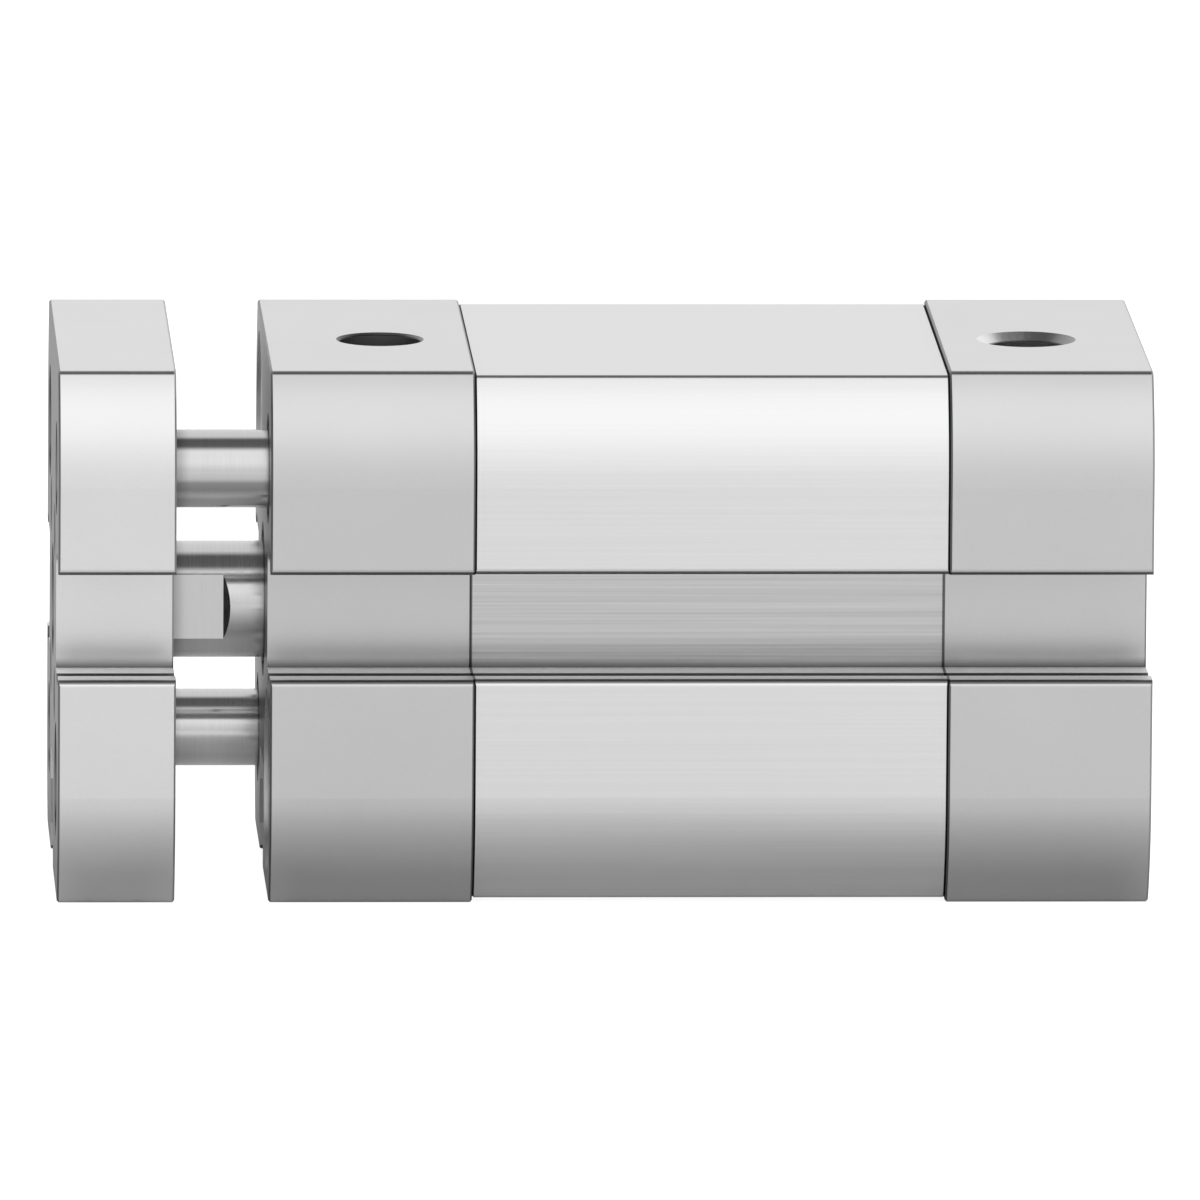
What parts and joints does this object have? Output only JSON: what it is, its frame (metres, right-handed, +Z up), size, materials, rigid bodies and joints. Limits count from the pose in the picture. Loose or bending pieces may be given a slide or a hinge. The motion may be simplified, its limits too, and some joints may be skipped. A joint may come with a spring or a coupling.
{
  "type": "guided pneumatic cylinder",
  "caption": "Compact double-acting pneumatic cylinder with two guide rods and a square yoke plate, sensor slots along three sides and threaded air ports on top.",
  "frame": {"origin": "on the piston axis in the rear face of the end cap, at the mouth of the centring bore", "axes": "+X along the piston axis towards the rear, away from the yoke; +Z up, the side with the air ports; -Y the near side"},
  "size_m": [0.0558, 0.0274, 0.0274],
  "materials": {
    "barrel_anodised": "clear anodised, drawn along the axis, satin",
    "cap_anodised": "clear anodised, satin",
    "yoke_anodised": "clear anodised, satin",
    "rod_steel": "ground and polished high-alloy steel",
    "screw_steel": "zinc-plated steel",
    "seal_rubber": "matt black elastomer",
    "buffer_rubber": "matt dark elastomer",
    "bronze": "sintered bronze",
    "piston_aluminium": "plain turned",
    "magnet": "dark sintered magnet",
    "guide_plastic": "natural bearing plastic"
  },
  "bodies": {
    "housing": {"barrel": "barrel_anodised", "bearing_cap": "cap_anodised", "end_cap": "cap_anodised", "clamp_screw_1": "screw_steel", "clamp_screw_2": "screw_steel", "rod_wiper": "seal_rubber", "rod_bush": "bronze", "rod_seal": "seal_rubber", "front_buffer": "buffer_rubber", "rear_buffer": "buffer_rubber", "face_seal_front": "seal_rubber", "face_seal_rear": "seal_rubber", "guide_wiper_1": "seal_rubber", "guide_wiper_2": "seal_rubber", "guide_bush_1": "bronze", "guide_bush_2": "bronze"},
    "yoke_unit": {"yoke_plate": "yoke_anodised", "piston_rod": "rod_steel", "yoke_screw": "screw_steel", "guide_rod_1": "rod_steel", "guide_rod_2": "rod_steel", "guide_screw_1": "screw_steel", "guide_screw_2": "screw_steel", "piston_front": "piston_aluminium", "piston_rear": "piston_aluminium", "magnet": "magnet", "guide_ring": "guide_plastic", "piston_seal_1": "seal_rubber", "piston_seal_2": "seal_rubber", "piston_screw": "screw_steel"}
  },
  "joints": [
    {"name": "piston_stroke", "type": "slide", "parent": "housing", "child": "yoke_unit", "axis": [-1, 0, 0], "range_m": [0, 0.01]}
  ]
}
